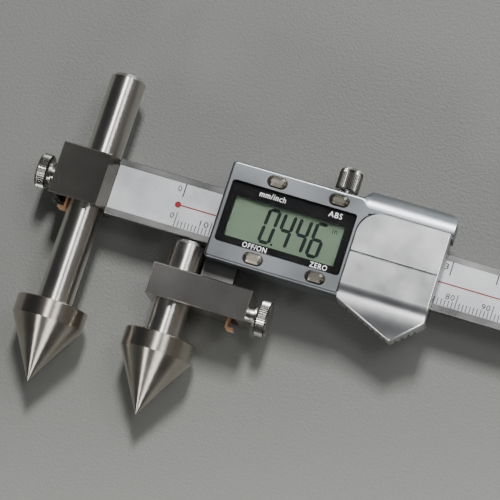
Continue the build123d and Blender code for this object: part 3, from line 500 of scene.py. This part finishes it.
def join_rings(maker, first, second):
    """A band of faces from one ring of points to the next."""
    for index in range(len(first)):
        after = (index + 1) % len(first)
        maker.faces.new((first[index], first[after], second[after], second[index]))


def rectangle(left, bottom, right, top):
    """A rectangle's corners, from caliper millimetres."""
    return [caliper(left, bottom), caliper(right, bottom), caliper(right, top),
            caliper(left, top)]


def plates(outlines, z, thickness=print_thickness):
    """Thin flat plates: each outline becomes a closed plate from z up."""
    maker = bmesh.new()
    for outline in outlines:
        low = ring_of_points(maker, outline, z)
        high = ring_of_points(maker, outline, z + thickness)
        maker.faces.new(list(reversed(low)))
        maker.faces.new(high)
        join_rings(maker, low, high)
    return mesh_from(maker)


def words(text, left, base, width, height):
    """Flat letters fitted into a box, which is given in caliper millimetres."""
    curve = bpy.data.curves.new("letters", "FONT")
    curve.body = text
    curve.size = height * MM
    curve.resolution_u = letter_curve_steps
    curve.space_character = letter_spacing
    typed = bpy.data.objects.new("letters", curve)
    bpy.context.scene.collection.objects.link(typed)
    bpy.context.view_layer.update()
    shape = bpy.data.meshes.new_from_object(typed.evaluated_get(
        bpy.context.evaluated_depsgraph_get()))
    low = [min(v.co[axis] for v in shape.vertices) for axis in (0, 1)]
    high = [max(v.co[axis] for v in shape.vertices) for axis in (0, 1)]
    x0, y0 = caliper(left, base)
    for v in shape.vertices:
        v.co.x = x0 + (v.co.x - low[0]) / (high[0] - low[0]) * width * MM
        v.co.y = y0 + (v.co.y - low[1]) / (high[1] - low[1]) * height * MM
    bpy.data.objects.remove(typed)
    return shape


def thick_letters(shapes, z, thickness=print_thickness):
    """Flat letters joined, raised to z and given a closed thickness."""
    maker = bmesh.new()
    for shape in shapes:
        maker.from_mesh(shape)
    bmesh.ops.remove_doubles(maker, verts=maker.verts, dist=same_point)
    for v in maker.verts:
        v.co.z = z
    bmesh.ops.recalc_face_normals(maker, faces=maker.faces)
    grown = bmesh.ops.extrude_face_region(maker, geom=maker.faces[:])
    for part in grown["geom"]:
        if isinstance(part, bmesh.types.BMVert):
            part.co.z = z + thickness
    bmesh.ops.recalc_face_normals(maker, faces=maker.faces)
    return mesh_from(maker)


# Scale, in caliper millimetres: millimetres along the lower edge, inches along the upper

MM_IN_INCH = 25.4
last_mm = 150
last_half_inch = 12
lower_edge = -6.1
upper_edge = 6.15

mm_mark_width = 0.22
mm_mark_length = 1.85
ten_mark_length = 3.95
inch_mark_width = 0.30
inch_mark_length = 3.8
half_mark_length = 2.7

figure_width = 1.05
figure_gap = 0.35
mm_figure_right = -0.75
mm_figure_base = -4.05
mm_figure_height = 1.6
inch_figure_left = -1.95
inch_figure_base = 3.75
inch_figure_height = 1.65

line_past_scale = 2.0
line_half_width = 0.17
dot_x = -0.6
dot_radius = 0.88
dot_sides = 32


def strip_mark(x, bottom, top, width):
    """A straight mark across the strip, with its middle at x."""
    return rectangle(x - width / 2, bottom, x + width / 2, top)


millimetre_marks = []
for mm in range(last_mm + 1):
    length = ten_mark_length if mm % 10 == 0 else mm_mark_length
    millimetre_marks.append(strip_mark(mm, lower_edge, lower_edge + length, mm_mark_width))

inch_marks = []
for half in range(last_half_inch + 1):
    length = inch_mark_length if half % 2 == 0 else half_mark_length
    inch_marks.append(strip_mark(half * MM_IN_INCH / 2, upper_edge - length, upper_edge,
                                 inch_mark_width))

figures = []
for mm in range(0, last_mm + 1, 10):
    text = str(mm)
    wide = figure_width * len(text) + figure_gap * (len(text) - 1)
    figures.append(words(text, mm + mm_figure_right - wide, mm_figure_base, wide,
                         mm_figure_height))
for inch in range(last_half_inch // 2 + 1):
    figures.append(words(str(inch), inch * MM_IN_INCH + inch_figure_left, inch_figure_base,
                         figure_width, inch_figure_height))

centre_line = rectangle(0.0, -line_half_width, last_mm + line_past_scale, line_half_width)

zero_dot = []
for side in range(dot_sides):
    turn = math.tau * side / dot_sides
    zero_dot.append(caliper(dot_x + dot_radius * math.cos(turn), dot_radius * math.sin(turn)))

add_piece("scale_marks_mm", plates(millimetre_marks, scale_z), "beam", scale_black)
add_piece("scale_marks_inch", plates(inch_marks, scale_z), "beam", scale_black)
add_piece("scale_figures", thick_letters(figures, scale_z), "beam", scale_black)
add_piece("scale_centre_line", plates([centre_line], scale_z), "beam", scale_red)
add_piece("scale_zero_dot", plates([zero_dot], scale_z, dot_thickness), "beam", scale_red)


# Display border: the print behind the window, and the words in it

CORNER_STEPS = 6
window_corner = 0.6 * MM
opening_corner = 0.25 * MM
border_thickness = 0.02 * MM
edge_clearance = 0.012 * MM
skirt_reach = 0.04 * MM
skirt_below_top = 0.01 * MM
label_gap = 0.002 * MM
label_thickness = 0.004 * MM

# In caliper millimetres: the opening's corners, and each word's left, base, width, height
opening_low = (15.1, -5.48)
opening_high = (46.0, 5.88)
button_words = (("mm/inch", 21.1, 7.4, 7.35, 1.65), ("ABS", 40.65, 7.45, 3.75, 1.55),
                ("OFF/ON", 20.75, -7.25, 6.8, 1.45), ("ZERO", 39.8, -7.25, 4.85, 1.45))


def rounded_outline(low, high, radius, grow):
    """A rounded rectangle as a ring of XY places, enlarged all round by grow."""
    ring = []
    for side_x, side_y, start in ((1, 1, 0), (-1, 1, 90), (-1, -1, 180), (1, -1, 270)):
        middle_x = (high.x if side_x > 0 else low.x) - side_x * radius
        middle_y = (high.y if side_y > 0 else low.y) - side_y * radius
        for step in range(CORNER_STEPS + 1):
            turn = math.radians(start + step * 90 / CORNER_STEPS)
            ring.append((middle_x + (radius + grow) * math.cos(turn),
                         middle_y + (radius + grow) * math.sin(turn)))
    return ring


def border_mesh():
    """The printed border under the window, with the black that runs up the window's edge."""
    edge = rounded_outline(window_low, window_high, window_corner, edge_clearance)
    skirt = rounded_outline(window_low, window_high, window_corner, skirt_reach)
    opening = rounded_outline(Vector(caliper(*opening_low)), Vector(caliper(*opening_high)),
                              opening_corner, 0.0)
    under = border_z - border_thickness
    top = window_high.z - skirt_below_top
    profile = [(opening, under), (opening, border_z), (edge, border_z), (edge, top),
               (skirt, top), (skirt, under)]
    maker = bmesh.new()
    rings = [ring_of_points(maker, outline, z) for outline, z in profile]
    for first, second in zip(rings, rings[1:] + rings[:1]):
        join_rings(maker, first, second)
    bmesh.ops.recalc_face_normals(maker, faces=maker.faces)
    return mesh_from(maker)


labels = [words(*word) for word in button_words]
add_piece("display_border", border_mesh(), "slider", border_black)
add_piece("display_labels", thick_letters(labels, border_z + label_gap, label_thickness),
          "slider", label_white)


# Display, in caliper millimetres: the digits shown and their unit

# The seven bars of a digit, each by its two ends, in shares of the digit's width and height
BARS = {"top": ((0, 1), (1, 1)), "middle": ((0, 0.5), (1, 0.5)), "bottom": ((0, 0), (1, 0)),
        "upper_left": ((0, 0.5), (0, 1)), "upper_right": ((1, 0.5), (1, 1)),
        "lower_left": ((0, 0), (0, 0.5)), "lower_right": ((1, 0), (1, 0.5))}
DIGIT_BARS = {
    "0": ("top", "bottom", "upper_left", "upper_right", "lower_left", "lower_right"),
    "4": ("middle", "upper_left", "upper_right", "lower_right"),
    "6": ("top", "middle", "bottom", "upper_left", "lower_left", "lower_right"),
}
digits_shown = "0446"
first_digit_x = 24.45
digit_step = 4.5
digit_base = -4.3
digit_width = 2.75
digit_height = 9.25
digit_slant = 0.075
bar_width = 0.95
bar_gap = 0.02
point_x = 28.15
point_y = -4.35
point_reach = 0.3
unit_word = ("in", 42.9, 3.3, 1.4, 1.5)


def bar_outline(left, ends):
    """The six corners of one bar with pointed ends, leaned over with its digit."""
    start, stop = [Vector((left + x * digit_width, digit_base + y * digit_height))
                   for x, y in ends]
    run = (stop - start).normalized()
    side = Vector((-run.y, run.x)) * bar_width / 2
    gap = run * bar_gap
    nose = run * bar_width / 2
    corners = [start + gap, start + gap + nose - side, stop - gap - nose - side, stop - gap,
               stop - gap - nose + side, start + gap + nose + side]
    return [caliper(c.x + (c.y - digit_base) * digit_slant, c.y) for c in corners]


bars = []
for place, digit in enumerate(digits_shown):
    left = first_digit_x + place * digit_step
    bars += [bar_outline(left, BARS[bar]) for bar in DIGIT_BARS[digit]]
bars.append(rectangle(point_x - point_reach, point_y - point_reach,
                      point_x + point_reach, point_y + point_reach))

add_piece("display_figures", plates(bars, segment_z), "slider", segment_dark)
add_piece("display_unit_word", thick_letters([words(*unit_word)], segment_z), "slider",
          segment_dark)


# Table

table_reach = 2.5

table_maker = bmesh.new()
bmesh.ops.create_grid(table_maker, x_segments=2, y_segments=2, size=table_reach)
table = bpy.data.objects.new("table", mesh_from(table_maker))
table.data.materials.append(table_grey)
bpy.context.scene.collection.objects.link(table)


# Light and camera

def soft_light(name, place, target, size, watts, colour=(1.0, 1.0, 1.0)):
    """A rectangular soft light that faces a point."""
    lamp = bpy.data.lights.new(name, "AREA")
    lamp.shape = "RECTANGLE"
    lamp.size, lamp.size_y = size
    lamp.energy = watts
    lamp.color = colour
    light = bpy.data.objects.new(name, lamp)
    light.location = place
    aim = Vector(target) - Vector(place)
    light.rotation_euler = aim.to_track_quat("-Z", "Y").to_euler()
    bpy.context.scene.collection.objects.link(light)


middle = (-0.03, 0.0, 0.01)
before_cones = (0.0, -0.08, 0.0)
beside_beam = (0.20, 0.10, 0.0)
soft_light("key light", (-0.12, 1.20, 1.62), middle, (0.28, 0.48), 34.0)
soft_light("side light", (0.66, 1.16, 1.55), middle, (1.00, 0.26), 5.0)
soft_light("overhead light", (0.24, 0.14, 0.72), beside_beam, (0.24, 0.14), 0.75)
soft_light("front left strip", (-0.40, -0.84, 0.46), before_cones, (0.12, 0.12), 1.3)
soft_light("front right strip", (0.12, -0.90, 0.40), before_cones, (0.30, 0.10), 2.4)
soft_light("shoulder light", (0.25, 1.10, 0.22), middle, (0.60, 0.20), 2.6,
           colour=(0.90, 0.95, 1.0))
soft_light("right fill", (0.80, 0.05, 0.42), middle, (0.30, 0.80), 0.2,
           colour=(1.0, 0.88, 0.72))

world = bpy.data.worlds.new("room")
world.use_nodes = True
room = world.node_tree.nodes["Background"]
room.inputs["Color"].default_value = (0.9, 0.95, 1.0, 1.0)
room.inputs["Strength"].default_value = 0.045
bpy.context.scene.world = world

camera_place = (0.03282, -0.10612, 0.65337)
camera_turn_degrees = (12.077, 5.201, 17.8)

lens = bpy.data.cameras.new("camera")
lens.sensor_width = 36.0
lens.lens = 173.97
lens.clip_start = 0.01
lens.clip_end = 20.0
camera = bpy.data.objects.new("camera", lens)
camera.location = camera_place
camera.rotation_euler = [math.radians(angle) for angle in camera_turn_degrees]
bpy.context.scene.collection.objects.link(camera)
bpy.context.scene.camera = camera
